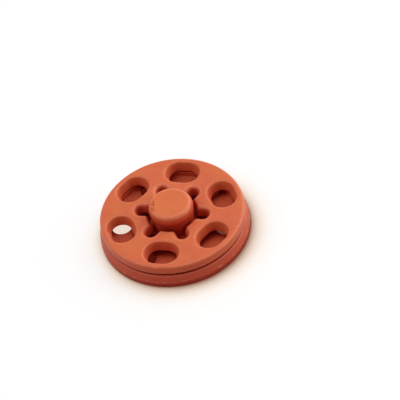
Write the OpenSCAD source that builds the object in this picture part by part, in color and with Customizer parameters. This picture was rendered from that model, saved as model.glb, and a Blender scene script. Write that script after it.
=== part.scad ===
// Sew-on snap fastener: a stud half and a socket half, each moulded in one piece.
// Millimetres, +Z along the stud, origin in the middle of the stud half's back.

/* [Discs] */
// Diameter of the socket half
socket_d = 21; // [18:0.5:26]
// How far the stud half stands out past the socket half all round
stud_half_overhang = 0.3; // [0:0.05:0.6]
// Rounding of the discs' outer edges
edge_round = 0.35; // [0.15:0.05:0.45]
// Angle that the socket half is turned from the stud half
socket_turn = 26; // [0:1:60]

/* [Stud half] */
// Thickness of the plate inside the rim
floor_t = 1.15; // [1:0.05:1.8]
// Height of the rim above the plate
rim_h = 0.8; // [0.6:0.05:1.6]
// Width of the rim
rim_w = 1.75; // [1.2:0.05:2.2]
// Height of the rim's widest place, where the mould parts
parting_h = 0.85; // [0.6:0.05:1.1]
// How much the rim draws in from its widest place to its top
rim_draw = 0.3; // [0:0.05:0.5]

/* [Stud] */
// Diameter of the stud's head
head_d = 6.4; // [5.4:0.1:7]
// Height of the head's straight side and rounded top together
head_h = 1.3; // [1.1:0.05:1.6]
// Rounding of the head's top edge
head_round = 0.55; // [0.2:0.05:0.6]
// How far the head stands above the socket half's face
head_reach = 1.9; // [1.7:0.05:2.4]
// How far the neck is set in from the head
neck_inset = 0.2; // [0.1:0.05:0.4]
// Height of the slope between the neck and the head
neck_slope_h = 0.5; // [0.3:0.05:0.6]
// Fillet where the neck meets the plate
neck_fillet = 0.3; // [0.1:0.05:0.5]

/* [Socket half] */
// Thickness of the socket half's plate
plate_t = 1.5; // [1:0.05:1.8]
// Gap between the stud half's rim and the socket half's plate
plate_gap = 0.25; // [0.1:0.05:0.4]
// Clearance all round the head as it passes the mouth
mouth_clearance = 0.06; // [0.04:0.01:0.15]
// How much the mouth widens on each side towards the outer face
mouth_flare = 0.34; // [0.1:0.02:0.45]

/* [Star slots] */
// Number of slots, which is also the number of petals
slot_count = 6; // [4:1:7]
// Width of a slot on the outer face
slot_w = 1.95; // [1.6:0.05:2.1]
// How far a slot reaches past the mouth on the outer face
slot_l = 1.85; // [1.2:0.05:2]
// How much a slot narrows on each side towards the inner face
slot_flare = 0.45; // [0.1:0.05:0.5]

/* [Sewing holes] */
// Number of sewing holes in each half
hole_count = 6; // [4:1:6]
// Length of a hole on the outer face
hole_l = 5.1; // [4.4:0.1:5.4]
// Width of a hole on the outer face
hole_w = 3.95; // [3.2:0.05:4]
// How much a hole narrows on each side towards the inner face
hole_flare = 0.53; // [0.2:0.05:0.6]
// Clearance between a hole's narrow end and the inside of the rim
hole_rim_clearance = 0.05; // [0.02:0.01:0.4]

/* [Hidden] */
$fn = 96;
plastic = "#C9653F";
overrun = 0.2;

socket_r = socket_d / 2;
stud_half_r = socket_r + stud_half_overhang;
rim_inner_r = stud_half_r - rim_w;
rim_top_z = floor_t + rim_h;
rim_slope = atan2(rim_draw, rim_top_z - parting_h);
rim_edge_r = min(edge_round, (rim_w - rim_draw) / 2);
rim_corner_z = rim_top_z - rim_edge_r;
rim_side_r = stud_half_r - (rim_corner_z - parting_h) * tan(rim_slope);
rim_corner = [rim_side_r - rim_edge_r / cos(rim_slope), rim_corner_z];
plate_z = rim_top_z + plate_gap;
plate_top_z = plate_z + plate_t;

head_r = head_d / 2;
neck_r = head_r - neck_inset;
head_top_z = plate_top_z + head_reach;
head_bottom_z = head_top_z - head_h;
neck_top_z = head_bottom_z - neck_slope_h;
head_corner_r = min(head_round, head_h / 2);

mouth_inner_r = head_r + mouth_clearance;
mouth_outer_r = mouth_inner_r + mouth_flare;
slot_start_share = 0.8;
slot_start_r = mouth_inner_r * slot_start_share;
slot_end_r = mouth_outer_r + slot_l - slot_w / 2;
slot_span = slot_end_r - slot_start_r;
slot_first_angle = 180 / hole_count;

hole_inner_w = hole_w - 2 * hole_flare;
hole_span = hole_l - hole_w;
hole_centre_r = rim_inner_r - hole_rim_clearance - hole_inner_w / 2;

// Rectangle from corner a to corner b, with all four corners rounded
module soft_rectangle(a, b, r) {
    size = b - a;
    translate(a + [r, 0]) square(size - [2 * r, 0]);
    translate(a + [0, r]) square(size - [0, 2 * r]);
    for (x = [a.x + r, b.x - r], y = [a.y + r, b.y - r])
        translate([x, y]) circle(r);
}

// Cutter for an opening through a plate of thickness t: straight along X between two round ends that are
// span apart, w_inner wide at z = 0 and w_outer wide at z = t. Its slopes run on past both faces.
module flared_opening(span, w_inner, w_outer, t) {
    widening = (w_outer - w_inner) / t * overrun;
    cut_h = t + 2 * overrun;
    r_low = (w_inner - widening) / 2;
    r_high = (w_outer + widening) / 2;
    translate([0, 0, -overrun]) {
        for (x = [-span / 2, span / 2])
            translate([x, 0]) cylinder(h = cut_h, r1 = r_low, r2 = r_high);
        rotate([90, 0, 90])
            linear_extrude(span, center = true)
                polygon([[-r_low, 0], [r_low, 0], [r_high, cut_h], [-r_high, cut_h]]);
    }
}

// Ring of sewing holes, with their wide ends on the upper face of a plate that stands on z = 0
module sewing_holes(t) {
    for (i = [0 : hole_count - 1])
        rotate(i * 360 / hole_count)
            translate([hole_centre_r, 0])
                rotate(90)
                    flared_opening(hole_span, hole_inner_w, hole_w, t);
}

// Half section of the stud: neck, slope and round-topped head, with a fillet at its foot
module stud_section() {
    square([neck_r, neck_top_z]);
    polygon([[0, neck_top_z], [neck_r, neck_top_z], [head_r, head_bottom_z], [0, head_bottom_z]]);
    translate([0, head_bottom_z]) square([head_r, head_h - head_corner_r]);
    translate([0, head_bottom_z]) square([head_r - head_corner_r, head_h]);
    translate([head_r - head_corner_r, head_top_z - head_corner_r]) circle(head_corner_r);
    difference() {
        translate([neck_r, floor_t]) square(neck_fillet);
        translate([neck_r + neck_fillet, floor_t + neck_fillet]) circle(neck_fillet);
    }
}

// Half section of the rim: widest where the mould parts, drawn in above that, with rounded edges
module rim_section() {
    r = rim_edge_r;
    foot = [stud_half_r - r, r];
    inner = [rim_inner_r + r, rim_corner_z];
    polygon([
        [rim_inner_r, 0],
        [foot.x, 0],
        [stud_half_r, foot.y],
        [stud_half_r, parting_h],
        rim_corner + r * [cos(rim_slope), sin(rim_slope)],
        [rim_corner.x, rim_top_z],
        [inner.x, rim_top_z],
        [rim_inner_r, inner.y]
    ]);
    for (corner = [foot, rim_corner, inner])
        translate(corner) circle(r);
}

// Half section of the stud half's plate and rim
module tray_section() {
    square([stud_half_r - rim_w / 2, floor_t]);
    rim_section();
}

module stud_half() {
    color(plastic)
        difference() {
            rotate_extrude() {
                tray_section();
                stud_section();
            }
            translate([0, 0, floor_t]) mirror([0, 0, 1]) sewing_holes(floor_t);
        }
}

// Star-shaped mouth of the socket half: a round hole and the slots that part its petals
module star_mouth() {
    widening = mouth_flare / plate_t * overrun;
    cut_h = plate_t + 2 * overrun;
    translate([0, 0, -overrun])
        cylinder(h = cut_h, r1 = mouth_inner_r - widening, r2 = mouth_outer_r + widening);
    for (i = [0 : slot_count - 1])
        rotate(slot_first_angle + i * 360 / slot_count)
            translate([slot_start_r + slot_span / 2, 0])
                flared_opening(slot_span, slot_w - 2 * slot_flare, slot_w, plate_t);
}

module socket_half() {
    color(plastic)
        translate([0, 0, plate_z])
            rotate(socket_turn)
                difference() {
                    rotate_extrude() {
                        square([socket_r / 2, plate_t]);
                        soft_rectangle([0, 0], [socket_r, plate_t], edge_round);
                    }
                    star_mouth();
                    sewing_holes(plate_t);
                }
}

stud_half();
socket_half();
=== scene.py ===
"""Looks of a sew-on snap fastener moulded in satin plastic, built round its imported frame."""

import math

import bpy
from mathutils import Matrix, Vector


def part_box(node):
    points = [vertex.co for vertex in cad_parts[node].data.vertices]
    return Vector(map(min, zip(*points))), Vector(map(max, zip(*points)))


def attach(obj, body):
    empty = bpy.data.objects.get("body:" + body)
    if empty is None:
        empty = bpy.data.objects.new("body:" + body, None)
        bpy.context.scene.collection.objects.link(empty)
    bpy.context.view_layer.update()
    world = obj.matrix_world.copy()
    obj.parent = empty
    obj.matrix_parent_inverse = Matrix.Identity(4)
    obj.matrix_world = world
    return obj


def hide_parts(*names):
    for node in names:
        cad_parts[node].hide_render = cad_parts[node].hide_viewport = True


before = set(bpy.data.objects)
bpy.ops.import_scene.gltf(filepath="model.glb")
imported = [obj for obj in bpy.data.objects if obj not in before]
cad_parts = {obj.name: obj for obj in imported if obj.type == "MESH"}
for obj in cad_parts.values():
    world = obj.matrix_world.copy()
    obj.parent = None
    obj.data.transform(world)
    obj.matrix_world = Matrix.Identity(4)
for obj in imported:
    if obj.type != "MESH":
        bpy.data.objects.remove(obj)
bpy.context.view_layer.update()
scene = bpy.context.scene
scene.view_settings.view_transform = "Standard"

# Lengths are in millimetres, and the frame is in metres
MM = 0.001

# Sizes read from the frame
stud_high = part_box("stud_half")[1] / MM
socket_low, socket_high = (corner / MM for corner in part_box("socket_half"))
STUD_HALF_R = stud_high.x
SOCKET_R = socket_high.x
PLATE_BACK, PLATE_FACE = socket_low.z, socket_high.z
HEAD_TOP = stud_high.z

# Tray of the stud half
PLATE_GAP = 0.25
RIM_TOP = PLATE_BACK - PLATE_GAP
RIM_W = 1.75
RIM_DRAW = 0.3
FLOOR_T = 1.15

# Stud: its head, and the neck that the petals grip. The head draws in towards its top by its taper, and the
# top falls off towards the edge and holds a shallow dish.
HEAD_R = 3.2
HEAD_H = 1.3
HEAD_TAPER = 0.32
TAPER_POWER = 2.0
HEAD_FALL = 0.08
FALL_POWER = 3.0
HEAD_DISH = 0.035
HEAD_DISH_R = 2.5
DISH_FLAT_SHARE = 0.93
NECK_R = 3.0
NECK_SLOPE_H = 0.5
STUD_ROOT = 0.7

# Sewing holes and star mouth
PETALS = 6
SOCKET_TURN = 26
HOLE_CIRCLE_R = 7.555
HOLE_SPAN = 1.15
HOLE_OUTER_W, HOLE_INNER_W = 3.95, 2.89
MOUTH_OUTER_R, MOUTH_INNER_R = 3.6, 3.26
SLOT_END_R = 4.475
SLOT_OUTER_W, SLOT_INNER_W = 1.95, 1.05

# Edges: how far two faces blend into each other, about 1.75 times the radius of the round
SOFT_RIM = 0.62
SOFT_GROOVE = 0.65
SOFT_RIM_TOP = 0.4
SOFT_FOOT = 0.35
SOFT_HEAD = 0.85
SOFT_LIP = 0.4
SOFT_MOUTH = 0.85
SOFT_INNER = 0.16
SOFT_CORNER = 0.3
SOFT_ROOT = 0.6

# Marks of the mould: flash and a step at the parting line, tool lines and slight sinking
STUD_PARTING_Z = 0.85
SOCKET_PARTING_H = 0.25
SOCKET_PARTING_Z = PLATE_BACK + SOCKET_PARTING_H
STUD_HALF_DRAFT = RIM_DRAW / (RIM_TOP - STUD_PARTING_Z)
SOCKET_DRAFT = 0.03
FLASH_H = 0.045
FLASH_W = 0.1
FLASH_RUN = 0.8
FLASH_GONE, FLASH_WHOLE = 0.53, 0.68
MOULD_STEP = 0.05
TOOL_LINE_H = 0.03
TOOL_LINE_PITCH = 0.42
SINK = 0.015
SINK_PATCH = 2.5

# Patterns of the plastic: their sizes, and the levels of noise between which they come in
CLOUD_PATCH = 3
CLOUD_LOW, CLOUD_HIGH = 0.35, 0.65
SPECK = 0.22
SPECK_LOW, SPECK_HIGH = 0.62, 0.75
SPECK_SHARE = 0.35
RUB_PATCH = 0.5
GRAIN = 0.3
GRAIN_H = 0.02
GRAIN_STRENGTH = 0.3

# Wear of the edges and a painted highlight along them, by how deep the round cuts into the sharp corner
EDGE_START, EDGE_RUBBED_AND_HIGHLIT, EDGE_POLISHED = 0.012, 0.06, 0.08
RUB_AND_HIGHLIGHT_SHARE = 0.8
ROUGHNESS_LOW, ROUGHNESS_HIGH = 0.38, 0.54
POLISH = 0.2

# Recesses, where shade is painted, by the share of a place's surroundings that is open within this reach
RECESS_REACH = 4
RECESS_RAYS = 8
SHUT_EDGE, FREE_EDGE = 0.4, 0.7
RECESS_DEEP, RECESS_OPEN = 0.15, 0.88
HOLLOW_INSIDE, HOLLOW_IN_GROOVE = 0.3, 0.55

# How far in from the outer side the painted shade of the side starts, and where it and the groove's painted
# shade are reached in full
SIDE_START, SIDE_FULL, GROOVE_FULL = 1.0, 0.5, 0.6

# Stud: painted shade on the head's side, by depth below the top, and a scuff on the rim of the dish
HEAD_SHADE_FULL, HEAD_SHADE_START = 0.6, 0.25
HEAD_SHADE_SHARE = 0.4
STUD_REACH = HEAD_R + 0.1
HEAD_SCUFF = (-2.4, -0.7, HEAD_TOP)
SCUFF_HALF_W = 0.26
SCUFF_FULL, SCUFF_END = 0.4, 1.4
SCUFF_LOW, SCUFF_HIGH = 0.4, 0.55

# Typical of acetal, with its gloss and depth matched to this satin finish
ACETAL = {
    "IOR": 1.48,
    "Specular IOR Level": 0.23,
    "Subsurface Weight": 0.4,
    "Subsurface Radius": (1.0, 0.18, 0.06),
    "Subsurface Scale": 0.25 * MM,
}

# Fineness of the skin, how far flat places are thinned out, and how often the skin is settled on the shape
VOXEL = 0.075
THINNING = 0.05
SETTLINGS = 2


def linear(hex_colour):
    """sRGB hex text as linear red, green, blue and full alpha."""
    shares = [int(hex_colour[i : i + 2], 16) / 255 for i in (1, 3, 5)]
    return [c / 12.92 if c <= 0.04045 else ((c + 0.055) / 1.055) ** 2.4 for c in shares] + [1.0]


def add(tree, kind, links=None, **settings):
    """Adds a node. links maps its sockets, by place or name, to a value, a node or an output of a node."""
    made = tree.nodes.new(kind)
    for name, value in settings.items():
        setattr(made, name, value)
    for socket, value in (links or {}).items():
        if isinstance(value, bpy.types.Node):
            value = value.outputs[0]
        if isinstance(value, bpy.types.NodeSocket):
            tree.links.new(value, made.inputs[socket])
        else:
            made.inputs[socket].default_value = value
    return made


def polar(tree, place, turn):
    """Distance from the axis, height, and angle to the nearest spoke, the first being at turn degrees."""
    flat = add(tree, "ShaderNodeVectorMath", {0: place, 1: (1, 1, 0)}, operation="MULTIPLY")
    reach = add(tree, "ShaderNodeVectorMath", {0: flat}, operation="LENGTH").outputs["Value"]
    parts = add(tree, "ShaderNodeSeparateXYZ", {0: place}).outputs
    angle = add(tree, "ShaderNodeMath", {0: parts["Y"], 1: parts["X"]}, operation="ARCTAN2")
    turned = add(tree, "ShaderNodeMath", {0: angle, 1: math.radians(turn)}, operation="SUBTRACT")
    folded = add(tree, "ShaderNodeMath", {0: turned, 1: math.pi / PETALS}, operation="PINGPONG")
    return reach, parts["Z"], folded


def along_and_across(tree, reach, angle):
    """Where a point lies along a spoke and across it."""
    cosine = add(tree, "ShaderNodeMath", {0: angle}, operation="COSINE")
    sine = add(tree, "ShaderNodeMath", {0: angle}, operation="SINE")
    along = add(tree, "ShaderNodeMath", {0: reach, 1: cosine}, operation="MULTIPLY")
    across = add(tree, "ShaderNodeMath", {0: reach, 1: sine}, operation="MULTIPLY")
    return along, across


def flared(tree, height, z_inner, z_outer, inner, outer):
    """A half width that grows from the inner face of a plate to its outer face."""
    ends = {"Value": height, "From Min": z_inner, "From Max": z_outer, "To Min": inner, "To Max": outer}
    return add(tree, "ShaderNodeMapRange", ends, clamp=False)


def cut(tree, solid, opening, softness):
    """The solid less the opening, with the lip between them rounded over."""
    kept = add(tree, "ShaderNodeMath", {0: opening, 1: -1.0}, operation="MULTIPLY")
    return add(tree, "ShaderNodeMath", {0: solid, 1: kept, 2: softness}, operation="SMOOTH_MAX")


def sewing_holes(tree, size, reach, height, angle, z_inner, z_outer):
    """Distance to the ring of flared oval sewing holes, below zero inside a hole."""
    along, across = along_and_across(tree, reach, angle)
    circle_r = size["Hole circle radius"]
    off_circle = add(tree, "ShaderNodeMath", {0: along, 1: circle_r}, operation="SUBTRACT")
    half_span = add(tree, "ShaderNodeMath", {0: size["Hole span"], 1: 0.5}, operation="MULTIPLY")
    past_span = add(tree, "ShaderNodeMath", {0: across, 1: half_span}, operation="SUBTRACT")
    past_span = add(tree, "ShaderNodeMath", {0: past_span, 1: 0.0}, operation="MAXIMUM")
    offset = add(tree, "ShaderNodeCombineXYZ", {"X": off_circle, "Y": past_span})
    away = add(tree, "ShaderNodeVectorMath", {0: offset}, operation="LENGTH").outputs["Value"]
    narrow, wide = size["Hole inner half width"], size["Hole outer half width"]
    half = flared(tree, height, z_inner, z_outer, narrow, wide)
    return add(tree, "ShaderNodeMath", {0: away, 1: half}, operation="SUBTRACT")


def parting_flash(tree, size, place, reach, height):
    """Height above the parting line, and the share of the flash that trimming left on the outer side."""
    line_z = size["Parting height"]
    above_line = add(tree, "ShaderNodeMath", {0: height, 1: line_z}, operation="SUBTRACT")
    off_line = add(tree, "ShaderNodeMath", {0: above_line}, operation="ABSOLUTE")
    near = {"Value": off_line, "From Min": 0.0, "From Max": FLASH_W, "To Min": 1.0, "To Max": 0.0}
    near = add(tree, "ShaderNodeMapRange", near, interpolation_type="SMOOTHSTEP")
    broken = add(tree, "ShaderNodeTexNoise", {"Vector": place, "Scale": 1 / FLASH_RUN, "Detail": 2.0})
    left = {"Value": broken, "From Min": FLASH_GONE, "From Max": FLASH_WHOLE}
    left = add(tree, "ShaderNodeMapRange", left)
    flash = add(tree, "ShaderNodeMath", {0: near, 1: left}, operation="MULTIPLY")
    depth = add(tree, "ShaderNodeMath", {0: size["Radius"], 1: reach}, operation="SUBTRACT")
    skin = {"Value": depth, "From Min": 2 * FLASH_H, "From Max": 4 * FLASH_H, "To Min": 1.0, "To Max": 0.0}
    outside = add(tree, "ShaderNodeMapRange", skin)
    return above_line, add(tree, "ShaderNodeMath", {0: flash, 1: outside}, operation="MULTIPLY")


def disc_side(tree, size, place, reach, height):
    """Distance to a round plate's side: drafted above its parting line, with faint lines from the mould."""
    above_line, flash = parting_flash(tree, size, place, reach, height)
    step = {"Value": above_line, "From Max": MOULD_STEP, "To Max": MOULD_STEP}
    step = add(tree, "ShaderNodeMapRange", step)
    above_line = add(tree, "ShaderNodeMath", {0: above_line, 1: 0.0}, operation="MAXIMUM")
    side = add(tree, "ShaderNodeMath", {0: reach, 1: size["Radius"]}, operation="SUBTRACT")
    side = add(tree, "ShaderNodeMath", {0: side, 1: step}, operation="ADD")
    side = add(tree, "ShaderNodeMath", {0: above_line, 1: size["Draft"], 2: side}, operation="MULTIPLY_ADD")
    trimmed = add(tree, "ShaderNodeMath", {0: 1.0, 1: flash}, operation="SUBTRACT")
    flashed = {0: trimmed, 1: size["Flash height"], 2: side}
    side = add(tree, "ShaderNodeMath", flashed, operation="MULTIPLY_ADD")
    line = add(tree, "ShaderNodeMath", {0: height, 1: TOOL_LINE_PITCH / 2}, operation="PINGPONG")
    lined = {0: line, 1: 2 * TOOL_LINE_H / TOOL_LINE_PITCH, 2: side}
    return add(tree, "ShaderNodeMath", lined, operation="MULTIPLY_ADD")


def socket_half(tree, size, softness):
    """Distance to the socket half: a plate with sewing holes and a star mouth that grips the stud."""
    place = add(tree, "GeometryNodeInputPosition")
    reach, height, angle = polar(tree, place, SOCKET_TURN)
    back, face = size["Back"], size["Face"]
    side = disc_side(tree, size, place, reach, height)
    over = add(tree, "ShaderNodeMath", {0: height, 1: face}, operation="SUBTRACT")
    under = add(tree, "ShaderNodeMath", {0: back, 1: height}, operation="SUBTRACT")
    face_edge = {0: side, 1: over, 2: softness * SOFT_RIM}
    plate = add(tree, "ShaderNodeMath", face_edge, operation="SMOOTH_MAX")
    back_edge = {0: plate, 1: under, 2: softness * SOFT_GROOVE}
    plate = add(tree, "ShaderNodeMath", back_edge, operation="SMOOTH_MAX")
    holes = sewing_holes(tree, size, reach, height, angle, back, face)
    lip = flared(tree, height, back, face, softness * SOFT_INNER, softness * SOFT_LIP)

    to_slot = add(tree, "ShaderNodeMath", {0: math.pi / PETALS, 1: angle}, operation="SUBTRACT")
    along, across = along_and_across(tree, reach, to_slot)
    slot_end = size["Slot end radius"]
    past_end = add(tree, "ShaderNodeMath", {0: along, 1: slot_end}, operation="SUBTRACT")
    past_end = add(tree, "ShaderNodeMath", {0: past_end, 1: 0.0}, operation="MAXIMUM")
    offset = add(tree, "ShaderNodeCombineXYZ", {"X": past_end, "Y": across})
    away = add(tree, "ShaderNodeVectorMath", {0: offset}, operation="LENGTH").outputs["Value"]
    narrow, wide = size["Slot inner half width"], size["Slot outer half width"]
    slot_half = flared(tree, height, back, face, narrow, wide)
    slots = add(tree, "ShaderNodeMath", {0: away, 1: slot_half}, operation="SUBTRACT")
    narrow, wide = size["Mouth inner radius"], size["Mouth outer radius"]
    mouth_r = flared(tree, height, back, face, narrow, wide)
    mouth = add(tree, "ShaderNodeMath", {0: reach, 1: mouth_r}, operation="SUBTRACT")
    petal_corner = {0: mouth, 1: slots, 2: softness * SOFT_CORNER}
    star = add(tree, "ShaderNodeMath", petal_corner, operation="SMOOTH_MIN")
    mouth_lip = flared(tree, height, back, face, softness * SOFT_INNER, softness * SOFT_MOUTH)
    return cut(tree, cut(tree, plate, star, mouth_lip), holes, lip)


def stud_half(tree, size, softness):
    """Distance to the stud half: a rimmed tray with sewing holes and the stud in its middle."""
    place = add(tree, "GeometryNodeInputPosition")
    reach, height, angle = polar(tree, place, 0)
    side = disc_side(tree, size, place, reach, height)
    over = add(tree, "ShaderNodeMath", {0: height, 1: size["Rim top"]}, operation="SUBTRACT")
    under = add(tree, "ShaderNodeMath", {0: height, 1: -1.0}, operation="MULTIPLY")
    foot_edge = {0: side, 1: under, 2: softness * SOFT_FOOT}
    plate = add(tree, "ShaderNodeMath", foot_edge, operation="SMOOTH_MAX")
    rim_edge = {0: plate, 1: over, 2: softness * SOFT_RIM_TOP}
    plate = add(tree, "ShaderNodeMath", rim_edge, operation="SMOOTH_MAX")
    rim_inner_r = size["Rim inner radius"]
    inside = add(tree, "ShaderNodeMath", {0: reach, 1: rim_inner_r}, operation="SUBTRACT")
    below = add(tree, "ShaderNodeMath", {0: size["Floor"], 1: height}, operation="SUBTRACT")
    pocket_corner = {0: inside, 1: below, 2: softness * SOFT_ROOT}
    pocket = add(tree, "ShaderNodeMath", pocket_corner, operation="SMOOTH_MAX")
    tray = cut(tree, plate, pocket, softness * SOFT_INNER)

    neck_to_head = {
        "Value": height,
        "From Min": size["Neck top"],
        "From Max": size["Head bottom"],
        "To Min": size["Neck radius"],
        "To Max": size["Head radius"],
    }
    radius = add(tree, "ShaderNodeMapRange", neck_to_head, interpolation_type="SMOOTHSTEP")
    side = add(tree, "ShaderNodeMath", {0: reach, 1: radius}, operation="SUBTRACT")
    rise = {"Value": height, "From Min": size["Head bottom"], "From Max": size["Head top"]}
    rise = add(tree, "ShaderNodeMapRange", rise)
    drawn_in = add(tree, "ShaderNodeMath", {0: rise, 1: TAPER_POWER}, operation="POWER")
    side = add(tree, "ShaderNodeMath", {0: drawn_in, 1: HEAD_TAPER, 2: side}, operation="MULTIPLY_ADD")
    across = add(tree, "ShaderNodeMath", {0: reach, 1: size["Head radius"]}, operation="DIVIDE")
    fall = add(tree, "ShaderNodeMath", {0: across, 1: FALL_POWER}, operation="POWER")
    crowned = add(tree, "ShaderNodeMath", {0: fall, 1: HEAD_FALL, 2: height}, operation="MULTIPLY_ADD")
    dish = {"Value": reach, "From Min": DISH_FLAT_SHARE * HEAD_DISH_R, "From Max": HEAD_DISH_R}
    dish |= {"To Min": HEAD_DISH, "To Max": 0.0}
    dish = add(tree, "ShaderNodeMapRange", dish, interpolation_type="SMOOTHSTEP")
    dished = add(tree, "ShaderNodeMath", {0: crowned, 1: dish}, operation="ADD")
    over = add(tree, "ShaderNodeMath", {0: dished, 1: size["Head top"]}, operation="SUBTRACT")
    head_edge = {0: side, 1: over, 2: softness * SOFT_HEAD}
    stud = add(tree, "ShaderNodeMath", head_edge, operation="SMOOTH_MAX")
    under = add(tree, "ShaderNodeMath", {0: STUD_ROOT, 1: height}, operation="SUBTRACT")
    stud = add(tree, "ShaderNodeMath", {0: stud, 1: under}, operation="MAXIMUM")
    stud_root = {0: tray, 1: stud, 2: softness * SOFT_ROOT}
    body = add(tree, "ShaderNodeMath", stud_root, operation="SMOOTH_MIN")

    holes = sewing_holes(tree, size, reach, height, angle, size["Floor"], 0.0)
    lip = flared(tree, height, size["Floor"], 0.0, softness * SOFT_INNER, softness * SOFT_LIP)
    return cut(tree, body, holes, lip)


def mould_tree(name, distance, sizes, z_low, z_high, material):
    """A tree that skins the surface where the distance is zero, and marks how deep its rounds cut."""
    tree = bpy.data.node_groups.new(name, "GeometryNodeTree")
    tree.interface.new_socket("Geometry", in_out="OUTPUT", socket_type="NodeSocketGeometry")
    for size_name in sizes:
        tree.interface.new_socket(size_name, in_out="INPUT", socket_type="NodeSocketFloat")
    size = add(tree, "NodeGroupInput").outputs

    place = add(tree, "GeometryNodeInputPosition")
    sunk = add(tree, "ShaderNodeTexNoise", {"Vector": place, "Scale": 1 / SINK_PATCH, "Detail": 2.0})
    sunk_form = {0: sunk, 1: SINK, 2: distance(tree, size, 1.0)}
    solid = add(tree, "ShaderNodeMath", sunk_form, operation="MULTIPLY_ADD")
    depth = add(tree, "ShaderNodeMath", {0: solid, 1: -1.0}, operation="MULTIPLY")
    sharp_form = distance(tree, size, 0.0)
    round_depth = add(tree, "ShaderNodeMath", {0: sharp_form, 1: -1.0}, operation="MULTIPLY")

    margin = 3 * VOXEL
    half = sizes["Radius"] + margin
    low, high = (-half, -half, z_low - margin), (half, half, z_high + margin)
    box = {"Density": depth, "Background": -margin, "Min": low, "Max": high}
    for axis, start, end in zip("XYZ", low, high):
        box["Resolution " + axis] = round((end - start) / VOXEL) + 1
    grid = add(tree, "GeometryNodeVolumeCube", box)
    mesh = add(tree, "GeometryNodeVolumeToMesh", {"Volume": grid, "Threshold": 0.0, "Adaptivity": THINNING})
    for _ in range(SETTLINGS):
        outwards = add(tree, "GeometryNodeInputNormal")
        step = add(tree, "ShaderNodeVectorMath", {0: outwards, "Scale": depth}, operation="SCALE")
        mesh = add(tree, "GeometryNodeSetPosition", {"Geometry": mesh, "Offset": step})
    worn_edges = {"Geometry": mesh, "Name": "edge", "Value": round_depth}
    mesh = add(tree, "GeometryNodeStoreNamedAttribute", worn_edges)
    mesh = add(tree, "GeometryNodeTransform", {"Geometry": mesh, "Scale": (MM, MM, MM)})
    mesh = add(tree, "GeometryNodeSetShadeSmooth", {"Geometry": mesh})
    mesh = add(tree, "GeometryNodeRealizeInstances", {"Geometry": mesh})
    mesh = add(tree, "GeometryNodeSetMaterial", {"Geometry": mesh, "Material": material})
    add(tree, "NodeGroupOutput", {"Geometry": mesh})
    return tree


def moulding(name, distance, sizes, z_low, z_high, material):
    """Runs a tree at its sizes and keeps the result as a plain mesh."""
    piece = bpy.data.objects.new(name, bpy.data.meshes.new(name))
    scene.collection.objects.link(piece)
    modifier = piece.modifiers.new("mould", "NODES")
    tree = mould_tree(name, distance, sizes, z_low, z_high, material)
    modifier.node_group = tree
    for item in tree.interface.items_tree:
        if item.in_out == "INPUT":
            modifier[item.identifier] = float(sizes[item.name])
    evaluated = piece.evaluated_get(bpy.context.evaluated_depsgraph_get())
    mesh = bpy.data.meshes.new_from_object(evaluated)
    piece.modifiers.remove(modifier)
    piece.data = mesh
    return piece


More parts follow.
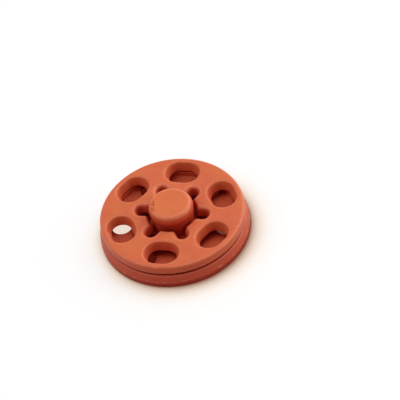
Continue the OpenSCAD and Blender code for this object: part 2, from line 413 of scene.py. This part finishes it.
def satin_acetal(name, colours, sizes, scuff=None):
    """Acetal from a fine-eroded mould: satin, faintly clouded, paler on flash and on edges from rubbing and
    a painted highlight, with painted shade in recesses, the groove and, on the stud half, its outer side
    and the head's side.
    """
    material = bpy.data.materials.new(name)
    material.use_nodes = True
    tree = material.node_tree
    shader = tree.nodes["Principled BSDF"]
    place = add(tree, "ShaderNodeTexCoord").outputs["Object"]
    place = add(tree, "ShaderNodeVectorMath", {0: place, "Scale": 1 / MM}, operation="SCALE")
    place = place.outputs["Vector"]
    reach, height, _ = polar(tree, place, 0)

    # Clouding of the pigment in patches, and pale specks of dust, drawn coarse enough to show
    cloud = add(tree, "ShaderNodeTexNoise", {"Vector": place, "Scale": 1 / CLOUD_PATCH, "Detail": 3.0})
    cloud = {"Value": cloud, "From Min": CLOUD_LOW, "From Max": CLOUD_HIGH}
    cloud = add(tree, "ShaderNodeMapRange", cloud)
    speck = add(tree, "ShaderNodeTexNoise", {"Vector": place, "Scale": 1 / SPECK, "Detail": 1.0})
    speck = {"Value": speck, "From Min": SPECK_LOW, "From Max": SPECK_HIGH, "To Max": SPECK_SHARE}
    speck = add(tree, "ShaderNodeMapRange", speck)
    # Edges that stand free are paler, unevenly every half millimetre: partly rubbed wear, partly a painted
    # highlight where light catches them
    around = {"Distance": RECESS_REACH * MM}
    openness = add(tree, "ShaderNodeAmbientOcclusion", around, samples=RECESS_RAYS).outputs["AO"]
    free = {"Value": openness, "From Min": SHUT_EDGE, "From Max": FREE_EDGE}
    free = add(tree, "ShaderNodeMapRange", free)
    edge = add(tree, "ShaderNodeAttribute", attribute_name="edge").outputs["Fac"]
    patchy = add(tree, "ShaderNodeTexNoise", {"Vector": place, "Scale": 1 / RUB_PATCH, "Detail": 2.0})
    rubbed_and_highlit = {"Value": edge, "From Min": EDGE_START, "From Max": EDGE_RUBBED_AND_HIGHLIT, "To Max": RUB_AND_HIGHLIGHT_SHARE}
    rubbed_and_highlit = add(tree, "ShaderNodeMapRange", rubbed_and_highlit)
    rubbed_and_highlit = add(tree, "ShaderNodeMath", {0: rubbed_and_highlit, 1: patchy}, operation="MULTIPLY")
    rubbed_and_highlit = add(tree, "ShaderNodeMath", {0: rubbed_and_highlit, 1: free}, operation="MULTIPLY")
    # Painted shade in recesses: a deeper red that stands for light bounced from wall to wall
    painted_recess_shade = {"Value": openness, "From Min": RECESS_DEEP, "From Max": RECESS_OPEN}
    painted_recess_shade = add(tree, "ShaderNodeMapRange", painted_recess_shade | {"To Min": 1.0, "To Max": 0.0})
    # Painted shade, darker still, in the most shut-in recesses, and more so in the groove between the
    # halves
    side_r = sizes["Radius"]
    limit = {"Value": reach, "From Min": side_r - SIDE_START, "From Max": side_r - GROOVE_FULL}
    limit = add(tree, "ShaderNodeMapRange", limit | {"To Min": HOLLOW_INSIDE, "To Max": HOLLOW_IN_GROOVE})
    painted_hollow_shade = {"Value": openness, "From Min": 0.0, "From Max": limit, "To Min": 1.0, "To Max": 0.0}
    painted_hollow_shade = add(tree, "ShaderNodeMapRange", painted_hollow_shade)
    # Flash left at the parting line, thin enough to look pale
    flash = parting_flash(tree, sizes, place, reach, height)[1]

    layers = [(cloud, "warm")]
    if "side" in colours:
        # Painted shade: the stud half's outer side is drawn darker
        painted_side_shade = {"Value": reach, "From Min": side_r - SIDE_START, "From Max": side_r - SIDE_FULL}
        layers.append((add(tree, "ShaderNodeMapRange", painted_side_shade), "side"))
    layers += [(speck, "pale_wear_dust_and_highlight"), (rubbed_and_highlit, "pale_wear_dust_and_highlight"), (painted_recess_shade, "deep"), (painted_hollow_shade, "hollow_shade_red"), (flash, "flash")]
    if scuff:
        # Painted shade on the head's side and below it, darker than the top
        low = {"Value": height, "From Min": HEAD_TOP - HEAD_SHADE_FULL, "From Max": HEAD_TOP - HEAD_SHADE_START}
        low = add(tree, "ShaderNodeMapRange", low | {"To Min": HEAD_SHADE_SHARE, "To Max": 0.0})
        on_stud = add(tree, "ShaderNodeMath", {0: reach, 1: STUD_REACH}, operation="LESS_THAN")
        painted_head_side_shade = add(tree, "ShaderNodeMath", {0: low, 1: on_stud}, operation="MULTIPLY")
        layers.append((painted_head_side_shade, "deep"))
        # A scuff that runs along the rim of the head's dish
        dish_rim = {0: reach, 1: HEAD_DISH_R, 2: SCUFF_HALF_W}
        on_rim = add(tree, "ShaderNodeMath", dish_rim, operation="COMPARE")
        away = add(tree, "ShaderNodeVectorMath", {0: place, 1: scuff}, operation="DISTANCE")
        near = {"Value": away.outputs["Value"], "From Min": SCUFF_FULL, "From Max": SCUFF_END}
        near = add(tree, "ShaderNodeMapRange", near | {"To Min": 1.0, "To Max": 0.0})
        mark = add(tree, "ShaderNodeMath", {0: on_rim, 1: near}, operation="MULTIPLY")
        blotches = {"Value": patchy, "From Min": SCUFF_LOW, "From Max": SCUFF_HIGH}
        blotches = add(tree, "ShaderNodeMapRange", blotches)
        mark = add(tree, "ShaderNodeMath", {0: mark, 1: blotches}, operation="MULTIPLY")
        layers.append((mark, "deep"))
    tint = linear(colours["body"])
    for share, colour in layers:
        mixed = {"Factor": share, "A": tint, "B": linear(colours[colour])}
        tint = add(tree, "ShaderNodeMix", mixed, data_type="RGBA").outputs["Result"]
    tree.links.new(tint, shader.inputs["Base Color"])

    # Grain left by the mould, drawn at 0.3 mm because the real grain is too fine to show
    grain = add(tree, "ShaderNodeTexNoise", {"Vector": place, "Scale": 1 / GRAIN, "Detail": 2.0})
    bump = {"Strength": GRAIN_STRENGTH, "Distance": GRAIN_H * MM, "Height": grain}
    bump = add(tree, "ShaderNodeBump", bump)
    tree.links.new(bump.outputs[0], shader.inputs["Normal"])
    # Satin, uneven where hands have rubbed it, and smoother on its edges
    satin = {"Value": patchy, "To Min": ROUGHNESS_LOW, "To Max": ROUGHNESS_HIGH}
    satin = add(tree, "ShaderNodeMapRange", satin)
    polished = {"Value": edge, "From Min": EDGE_START, "From Max": EDGE_POLISHED, "To Max": -POLISH}
    polished = add(tree, "ShaderNodeMapRange", polished)
    satin = add(tree, "ShaderNodeMath", {0: satin, 1: polished}, operation="ADD")
    tree.links.new(satin.outputs[0], shader.inputs["Roughness"])
    for socket, value in ACETAL.items():
        shader.inputs[socket].default_value = value
    return material


hole_sizes = {
    "Hole circle radius": HOLE_CIRCLE_R,
    "Hole span": HOLE_SPAN,
    "Hole inner half width": HOLE_INNER_W / 2,
    "Hole outer half width": HOLE_OUTER_W / 2,
}
stud_sizes = hole_sizes | {
    "Radius": STUD_HALF_R,
    "Parting height": STUD_PARTING_Z,
    "Draft": STUD_HALF_DRAFT,
    "Flash height": FLASH_H,
    "Rim top": RIM_TOP,
    "Rim inner radius": STUD_HALF_R - RIM_W,
    "Floor": FLOOR_T,
    "Neck radius": NECK_R,
    "Neck top": HEAD_TOP - HEAD_H - NECK_SLOPE_H,
    "Head radius": HEAD_R,
    "Head bottom": HEAD_TOP - HEAD_H,
    "Head top": HEAD_TOP,
}
socket_sizes = hole_sizes | {
    "Radius": SOCKET_R,
    "Parting height": SOCKET_PARTING_Z,
    "Draft": SOCKET_DRAFT,
    "Flash height": FLASH_H,
    "Back": PLATE_BACK,
    "Face": PLATE_FACE,
    "Slot end radius": SLOT_END_R,
    "Slot inner half width": SLOT_INNER_W / 2,
    "Slot outer half width": SLOT_OUTER_W / 2,
    "Mouth inner radius": MOUTH_INNER_R,
    "Mouth outer radius": MOUTH_OUTER_R,
}

# The two halves come from one batch of plastic, and the stud half is a shade more orange
# The hollow red is painted shade in the most shut-in places and in the groove
# The pale colour serves dust specks, rubbed wear and a painted highlight on free edges
# deep is the red of painted shade in recesses and on the head's side, and also of the scuff on the head
shared_colours = {"pale_wear_dust_and_highlight": "#E08E6A", "deep": "#B62E20", "hollow_shade_red": "#861A0E"}
socket_colours = shared_colours | {"body": "#CB6844", "warm": "#CF7143", "flash": "#D58662"}
stud_colours = shared_colours | {"body": "#CF6F46", "warm": "#D47A45", "flash": "#DC9270"}
# Painted shade: this darker red is drawn on the stud half's outer side
stud_colours["side"] = "#C66042"
socket_plastic = satin_acetal("satin_acetal_terracotta", socket_colours, socket_sizes)
stud_plastic = satin_acetal("satin_acetal_orange_terracotta", stud_colours, stud_sizes, HEAD_SCUFF)

stud_moulding = moulding("stud_moulding", stud_half, stud_sizes, 0.0, HEAD_TOP, stud_plastic)
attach(stud_moulding, "stud_half")
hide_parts("stud_half")

socket_moulding = moulding(
    "socket_moulding", socket_half, socket_sizes, PLATE_BACK, PLATE_FACE, socket_plastic
)
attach(socket_moulding, "socket_half")
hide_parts("socket_half")


def seen_directly(tree):
    """One where the surroundings are seen, straight or in a gloss, and zero where they light the part."""
    rays = add(tree, "ShaderNodeLightPath").outputs
    straight, in_gloss = rays["Is Camera Ray"], rays["Is Glossy Ray"]
    seen = add(tree, "ShaderNodeMath", {0: straight, 1: in_gloss}, operation="MAXIMUM")
    return add(tree, "ShaderNodeMath", {0: seen, 1: rays["Is Transmission Ray"]}, operation="MAXIMUM")


# Floor: matt white paper that shows white, shades off softly round the part and throws back a little light.
# Its shade goes by how open the paper lies, from shut in under the part to wide open.
WHITE = "#FFFFFF"
FLOOR_HALF = 400 * MM
SHADE_REACH = 12 * MM
SHADE_RAYS = 16
SHADE_LEAN = (-0.18, 0.16, 1)
CONTACT = 0.5
SHUT_IN_COLOUR = "#561208"
SHADE_COLOURS = (
    (0.25, "#701A10"), (0.485, "#7A1C10"), (0.5, "#84503F"), (0.54, "#A88875"), (0.58, "#C4A996"),
    (0.63, "#DDC6B4"), (0.67, "#EAD8C8"), (0.73, "#F6EBE0"), (0.8, "#FDF8F2"), (0.9, WHITE),
)
# Light that falls through two of the stud half's holes: side of the part, openness and colour of the patch
LIT_THROUGH_HOLES = ((-1, 1.2, "#EADBCB"), (1, 0.6, "#743A2F"))
PATCH_FULL, PATCH_END = 1.6 * MM, 2.4 * MM
BOUNCE = 0.43
BOUNCE_POWER = 5.0
BOUNCE_COLOUR = "#FFA8AC"
LIT_SHARE = 0.26
LIT_TINT = "#F6FEFF"
PAPER_GLOW = 0.775
floor_mesh = bpy.data.meshes.new("floor")
corners = [(x * FLOOR_HALF, y * FLOOR_HALF, 0) for x, y in ((-1, -1), (1, -1), (1, 1), (-1, 1))]
floor_mesh.from_pydata(corners, [], [(0, 1, 2, 3)])
floor = bpy.data.objects.new("floor", floor_mesh)
scene.collection.objects.link(floor)

paper = bpy.data.materials.new("matt_white_paper")
paper.use_nodes = True
tree = paper.node_tree
tree.nodes.clear()
around = {"Distance": SHADE_REACH}
openness = add(tree, "ShaderNodeAmbientOcclusion", around, samples=SHADE_RAYS).outputs["AO"]
# The shade leans away from most of the light, and beside the part it never turns as dark as under it
light_way = add(tree, "ShaderNodeVectorMath", {0: SHADE_LEAN}, operation="NORMALIZE")
leaning = {"Distance": SHADE_REACH, "Normal": light_way}
leaning = add(tree, "ShaderNodeAmbientOcclusion", leaning, samples=SHADE_RAYS).outputs["AO"]
darkest = add(tree, "ShaderNodeMath", {0: openness, 1: CONTACT}, operation="MINIMUM")
leaning = add(tree, "ShaderNodeMath", {0: leaning, 1: darkest}, operation="MAXIMUM")
shade = add(tree, "ShaderNodeValToRGB", {0: leaning})
shade.color_ramp.elements[0].color = linear(SHUT_IN_COLOUR)
shade.color_ramp.elements[1].color = linear(WHITE)
for position, colour in SHADE_COLOURS:
    shade.color_ramp.elements.new(position).color = linear(colour)
place = add(tree, "ShaderNodeTexCoord").outputs["Object"]
glow_share = PAPER_GLOW
for side, patch_openness, colour in LIT_THROUGH_HOLES:
    hole = (side * HOLE_CIRCLE_R * MM, 0, 0)
    off_hole = add(tree, "ShaderNodeVectorMath", {0: place, 1: hole}, operation="DISTANCE")
    near = {"Value": off_hole.outputs["Value"], "From Min": PATCH_FULL, "From Max": PATCH_END}
    near = add(tree, "ShaderNodeMapRange", near | {"To Min": 1.0, "To Max": 0.0})
    light_patch = add(tree, "ShaderNodeMath", {0: near, 1: patch_openness}, operation="MULTIPLY")
    openness = add(tree, "ShaderNodeMath", {0: openness, 1: light_patch}, operation="MAXIMUM")
    patch = {"Factor": near, "A": shade, "B": linear(colour)}
    shade = add(tree, "ShaderNodeMix", patch, data_type="RGBA").outputs["Result"]
    glow_share = add(tree, "ShaderNodeMath", {0: near, 1: glow_share}, operation="MAXIMUM")
bounced = add(tree, "ShaderNodeMath", {0: openness, 1: BOUNCE_POWER}, operation="POWER")
bounced = add(tree, "ShaderNodeMath", {0: bounced, 1: BOUNCE}, operation="MULTIPLY")
strength = {"Value": seen_directly(tree), "To Min": bounced, "To Max": glow_share}
strength = add(tree, "ShaderNodeMapRange", strength)
thrown = {"Factor": seen_directly(tree), "A": linear(BOUNCE_COLOUR), "B": shade}
thrown = add(tree, "ShaderNodeMix", thrown, data_type="RGBA").outputs["Result"]
glow = add(tree, "ShaderNodeEmission", {"Color": thrown, "Strength": strength})
lit_share = [LIT_SHARE * part for part in linear(LIT_TINT)[:3]] + [1]
lit = {"Factor": 1.0, "A": shade, "B": lit_share}
lit = add(tree, "ShaderNodeMix", lit, data_type="RGBA", blend_type="MULTIPLY").outputs["Result"]
lit = add(tree, "ShaderNodeBsdfDiffuse", {"Color": lit})
both = add(tree, "ShaderNodeAddShader", {0: glow, 1: lit})
# From below, the paper is left out so that the part's back can be seen
from_below = add(tree, "ShaderNodeNewGeometry").outputs["Backfacing"]
clear = add(tree, "ShaderNodeBsdfTransparent")
open_below = add(tree, "ShaderNodeMixShader", {0: from_below, 1: both, 2: clear})
add(tree, "ShaderNodeOutputMaterial", {"Surface": open_below})
floor_mesh.materials.append(paper)

# World: white where it shows, and a low even fill
FILL = 0.29
FILL_COLOUR = "#FFBCB4"
world = bpy.data.worlds.new("studio")
scene.world = world
world.use_nodes = True
tree = world.node_tree
tree.nodes.clear()
level = add(tree, "ShaderNodeMapRange", {"Value": seen_directly(tree), "To Min": FILL, "To Max": 1.0})
fill = {"Factor": seen_directly(tree), "A": linear(FILL_COLOUR), "B": linear(WHITE)}
fill = add(tree, "ShaderNodeMix", fill, data_type="RGBA").outputs["Result"]
backdrop = add(tree, "ShaderNodeBackground", {"Color": fill, "Strength": level})
add(tree, "ShaderNodeOutputWorld", {"Surface": backdrop})


# Lamps, by direction in degrees and level
LAMP_DISTANCE = 450 * MM
LAMP_SIZE = 320 * MM


def softbox(name, azimuth, elevation, level):
    """A square lamp that faces the origin; level is the brightness of a white card that faces it there."""
    lamp = bpy.data.lights.new(name, "AREA")
    lamp.size = LAMP_SIZE
    lamp.energy = level * (math.pi * LAMP_DISTANCE) ** 2
    holder = bpy.data.objects.new(name, lamp)
    turn, lift = math.radians(azimuth), math.radians(elevation)
    away = Vector((math.cos(turn) * math.cos(lift), math.sin(turn) * math.cos(lift), math.sin(lift)))
    holder.location = LAMP_DISTANCE * away
    holder.rotation_euler = away.to_track_quat("Z", "Y").to_euler()
    scene.collection.objects.link(holder)


softbox("back_softbox", 55, 38, 0.38)
softbox("left_softbox", 195, 43, 0.32)
softbox("right_softbox", 12, 23, 0.39)
softbox("top_softbox", 90, 78, 0.29)

# Camera: the photograph's view, set by where the middle of the socket's face lies in it
CAMERA_DISTANCE = 260 * MM
AZIMUTH, ELEVATION, ROLL = (math.radians(degrees) for degrees in (15.6, 47.3, 11.6))
IMAGE_PX = 400
PX_PER_MM = 7.085
FACE_CENTRE_PX = (171.8, 211.25)
SENSOR_W = 36

focal_px = PX_PER_MM * CAMERA_DISTANCE / MM
flat = math.cos(ELEVATION)
forward = Vector((-math.sin(AZIMUTH) * flat, math.cos(AZIMUTH) * flat, -math.sin(ELEVATION)))
level_right = Vector((math.cos(AZIMUTH), math.sin(AZIMUTH), 0))
level_down = forward.cross(level_right)
right = math.cos(ROLL) * level_right + math.sin(ROLL) * level_down
down = math.cos(ROLL) * level_down - math.sin(ROLL) * level_right
sideways, lower = ((px - IMAGE_PX / 2) / focal_px for px in FACE_CENTRE_PX)
face_centre = Vector((0, 0, PLATE_FACE * MM))
camera_place = face_centre - CAMERA_DISTANCE * (forward + sideways * right + lower * down)

camera_data = bpy.data.cameras.new("camera")
camera_data.sensor_width = SENSOR_W
camera_data.lens = focal_px / IMAGE_PX * SENSOR_W
camera_data.clip_start = 10 * MM
camera = bpy.data.objects.new("camera", camera_data)
scene.collection.objects.link(camera)
camera_turn = Matrix((right, -down, -forward)).transposed().to_4x4()
camera.matrix_world = Matrix.Translation(camera_place) @ camera_turn
scene.camera = camera
